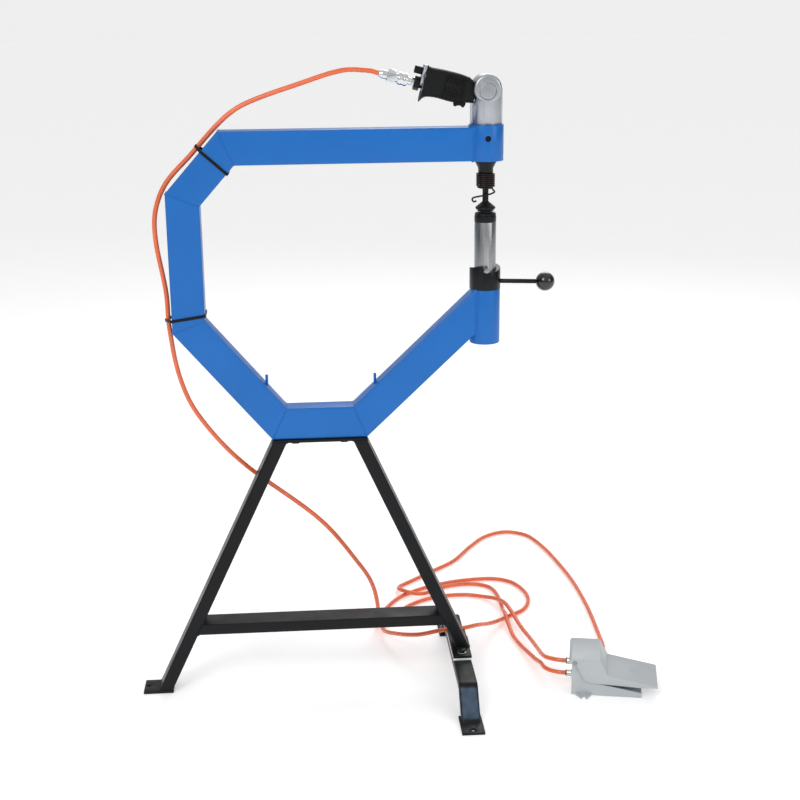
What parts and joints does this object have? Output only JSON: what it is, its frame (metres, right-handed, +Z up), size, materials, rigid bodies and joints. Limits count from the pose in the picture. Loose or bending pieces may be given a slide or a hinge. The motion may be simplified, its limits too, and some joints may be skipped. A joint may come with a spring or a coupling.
{
  "type": "pneumatic planishing hammer",
  "caption": "C-frame pneumatic planishing hammer on an A-shaped floor stand, with a cam-raised anvil post, an air hammer, a foot valve and orange air hoses.",
  "frame": {"origin": "midway between the two anchor holes of the front foot bar, on the floor", "axes": "+X from the rear column towards the hammer side, +Y away from the machine's front, +Z up"},
  "size_m": [0.9238, 0.8959, 1.0892],
  "materials": {
    "blue_paint": "gloss powder coat",
    "black_paint": "satin powder coat",
    "zinc_plate": "bright zinc",
    "black_oxide": "black oxide",
    "ground_steel": "ground",
    "spring_steel": "bright wire",
    "cast_aluminium": "satin casting",
    "pedal_paint": "light grey enamel on a casting",
    "valve_aluminium": "satin",
    "grip_rubber": "matte",
    "black_plastic": "fine texture",
    "ball_plastic": "polished phenolic",
    "chrome_plate": "plated",
    "brass": "nickel-plated brass",
    "hose_polyurethane": "orange-red polyurethane"
  },
  "bodies": {
    "frame": {"upper_holder": "blue_paint", "top_beam": "blue_paint", "upper_rear_brace": "blue_paint", "rear_column": "blue_paint", "lower_rear_brace": "blue_paint", "base_rail": "blue_paint", "front_brace": "blue_paint", "anvil_socket": "blue_paint", "die_pegs": "blue_paint", "stand_top_plate": "black_paint", "rear_leg": "black_paint", "front_leg": "black_paint", "crossbar": "black_paint", "rear_foot_plate": "black_paint", "front_leg_plate": "black_paint", "leg_shim": "zinc_plate", "front_foot_bar": "black_paint", "foot_pads": "black_paint", "foot_bolts": "black_oxide", "foot_washers": "zinc_plate", "foot_nuts": "zinc_plate", "frame_bolts": "black_oxide", "hammer_housing": "cast_aluminium", "hammer_cylinder": "black_oxide", "valve_block": "ground_steel", "head_plug": "cast_aluminium", "grip_sleeve": "grip_rubber", "handle_end_plate": "cast_aluminium", "inlet_bushing": "black_oxide", "coupler_nipple": "chrome_plate", "coupler_body": "chrome_plate", "hose_nut": "chrome_plate", "retainer_spring": "black_oxide", "holder_screw": "black_oxide", "pedal_base": "pedal_paint", "pedal_pin": "ground_steel", "pedal_spring": "spring_steel", "valve_body": "valve_aluminium", "port_fittings": "brass", "release_rings": "black_plastic", "cable_ties": "black_plastic", "hose_main": "hose_polyurethane", "hose_loop": "hose_polyurethane"},
    "cam": {"cam_collar": "black_oxide", "handle_rod": "black_oxide", "ball_knob": "ball_plastic"},
    "anvil": {"anvil_post": "ground_steel", "cross_pin": "ground_steel", "lower_die": "black_oxide"},
    "die": {"upper_die": "black_oxide"},
    "piston": {"piston": "ground_steel"},
    "trigger": {"trigger": "black_plastic"},
    "throttle": {"throttle_valve": "brass"},
    "regulator": {"regulator_knob": "black_plastic"},
    "sleeve": {"coupler_sleeve": "chrome_plate"},
    "pedal": {"pedal_cover": "pedal_paint"},
    "spool": {"valve_spool": "ground_steel"}
  },
  "joints": [
    {"name": "collar_turn", "type": "hinge", "parent": "frame", "child": "cam", "pos_m": [0.042, 0, 0.74], "axis": [0, 0, -1], "range_deg": [0, 104]},
    {"name": "post_lift", "type": "slide", "parent": "frame", "child": "anvil", "axis": [0, 0, 1], "range_m": [0, 0.00801]},
    {"name": "die_rise", "type": "slide", "parent": "frame", "child": "die", "axis": [0, 0, 1], "range_m": [0, 0.00801]},
    {"name": "piston_stroke", "type": "slide", "parent": "frame", "child": "piston", "axis": [0, 0, 1], "range_m": [0, 0.015]},
    {"name": "trigger_pull", "type": "slide", "parent": "frame", "child": "trigger", "axis": [0.2588, 0, 0.9659], "range_m": [0, 0.003], "stiffness_N_per_m": 600, "springref_m": -0.004},
    {"name": "throttle_lift", "type": "slide", "parent": "frame", "child": "throttle", "axis": [0.2588, 0, 0.9659], "range_m": [0, 0.003]},
    {"name": "regulator_turn", "type": "hinge", "parent": "frame", "child": "regulator", "pos_m": [-0.06166, 0, 1.07813], "axis": [-0.9659, 0, 0.2588], "range_deg": [0, 180]},
    {"name": "sleeve_slide", "type": "slide", "parent": "frame", "child": "sleeve", "axis": [-0.9659, 0, 0.2588], "range_m": [0, 0.003], "stiffness_N_per_m": 600, "springref_m": -0.003},
    {"name": "pedal_press", "type": "hinge", "parent": "frame", "child": "pedal", "pos_m": [0.20295, -0.05491, 0.062], "axis": [0.2079, 0.9781, 0], "range_deg": [0, 5], "stiffness_Nm_per_rad": 3, "springref_deg": -8.59, "deforming": ["pedal_spring"]},
    {"name": "spool_press", "type": "slide", "parent": "frame", "child": "spool", "axis": [0, 0, -1], "range_m": [0, 0.0029]}
  ],
  "couplings": [
    {"joint": "post_lift", "follows": "collar_turn", "m_per_rad": 0.0044074},
    {"joint": "die_rise", "follows": "collar_turn", "m_per_rad": 0.0044074},
    {"joint": "throttle_lift", "follows": "trigger_pull", "ratio": 1},
    {"joint": "spool_press", "follows": "pedal_press", "m_per_rad": 0.0315}
  ]
}
